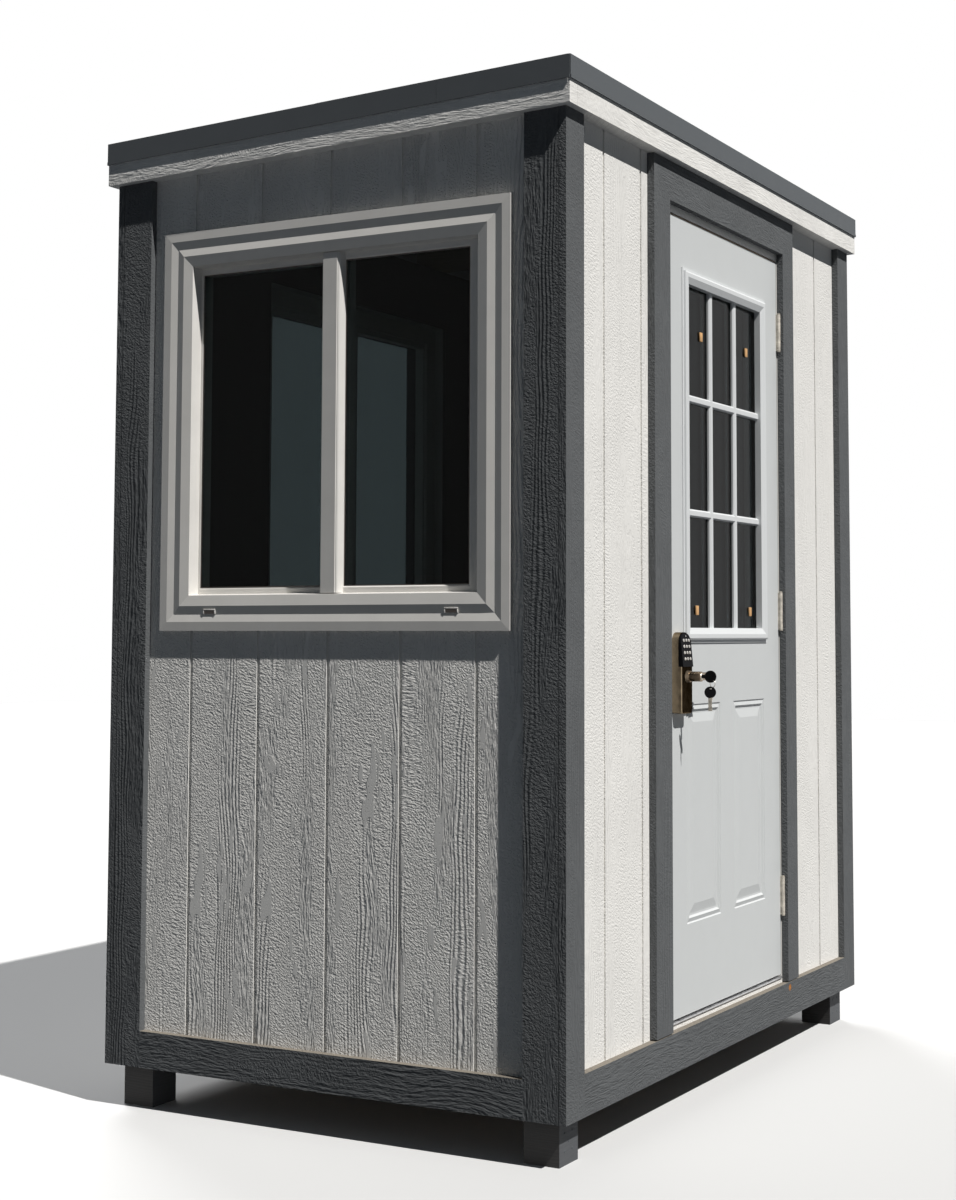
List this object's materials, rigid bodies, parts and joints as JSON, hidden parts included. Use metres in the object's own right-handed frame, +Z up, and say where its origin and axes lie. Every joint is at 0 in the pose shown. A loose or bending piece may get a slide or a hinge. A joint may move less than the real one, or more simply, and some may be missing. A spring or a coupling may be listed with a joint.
{
  "type": "security guard booth",
  "caption": "Timber guard booth on post feet with a low shed roof, sliding windows and an outswing half-glazed door with a keypad lever lock.",
  "frame": {"origin": "middle of the booth's bounding box at the ground under the feet", "axes": "+Z up; -Y out of the front wall with the sliding window; +X out of the wall with the door"},
  "size_m": [1.3986, 1.946, 2.4603],
  "materials": {
    "lumber": "rough, dark-stained",
    "siding_paint": "satin paint on rough-sawn grooved board",
    "trim_paint": "satin paint on rough-sawn board",
    "drip_edge": "satin",
    "roofing": "mineral-faced sheet, matte",
    "window_vinyl": "satin",
    "window_glass": "polished",
    "jamb_wood": "satin paint",
    "threshold_metal": "mill",
    "hinge_metal": "satin",
    "door_paint": "satin",
    "lite_plastic": "satin",
    "lock_bronze": "satin bronze",
    "keypad_black": "satin",
    "key_metal": "satin black"
  },
  "bodies": {
    "booth": {"post_feet": "lumber", "floor_rim_joists": "lumber", "floor_joists": "lumber", "floor_deck": "lumber", "front_wall": "siding_paint", "back_wall": "siding_paint", "left_wall": "siding_paint", "door_wall_front": "siding_paint", "door_wall_back": "siding_paint", "door_wall_header": "siding_paint", "door_wall_foot": "siding_paint", "corner_boards_sides": "trim_paint", "corner_boards_ends": "trim_paint", "skirt_front_back": "trim_paint", "skirt_sides": "trim_paint", "roof_rafters": "lumber", "roof_deck": "lumber", "fascia_boards": "siding_paint", "roof_drip_edge": "drip_edge", "roof_sheet": "roofing", "front_window_frame": "window_vinyl", "front_window_sash_outer": "window_vinyl", "front_window_sash_inner": "window_vinyl", "front_window_glass": "window_glass", "left_window_frame": "window_vinyl", "left_window_sash_outer": "window_vinyl", "left_window_sash_inner": "window_vinyl", "left_window_glass": "window_glass", "door_casing_legs": "trim_paint", "door_casing_head": "trim_paint", "door_frame": "jamb_wood", "door_threshold": "threshold_metal", "hinge_frame_leaves": "hinge_metal"},
    "door": {"door_slab": "door_paint", "lite_frame_outside": "lite_plastic", "lite_frame_inside": "lite_plastic", "door_glass": "window_glass", "hinge_door_leaves": "hinge_metal", "lock_outside": "lock_bronze", "lock_inside": "lock_bronze", "keypad": "keypad_black", "latch_plate": "hinge_metal"},
    "lever": {"lever_outside": "lock_bronze", "lever_inside": "lock_bronze", "lever_key": "key_metal"}
  },
  "joints": [
    {"name": "door_hinge", "type": "hinge", "parent": "booth", "child": "door", "pos_m": [0.60195, 0.3861, 1.22], "axis": [0, 0, 1], "range_deg": [0, 110]},
    {"name": "lever_turn", "type": "hinge", "parent": "door", "child": "lever", "pos_m": [0.62135, -0.312, 1.058], "axis": [-1, 0, 0], "range_deg": [0, 45], "stiffness_Nm_per_rad": 1.2, "springref_deg": -28.65}
  ]
}
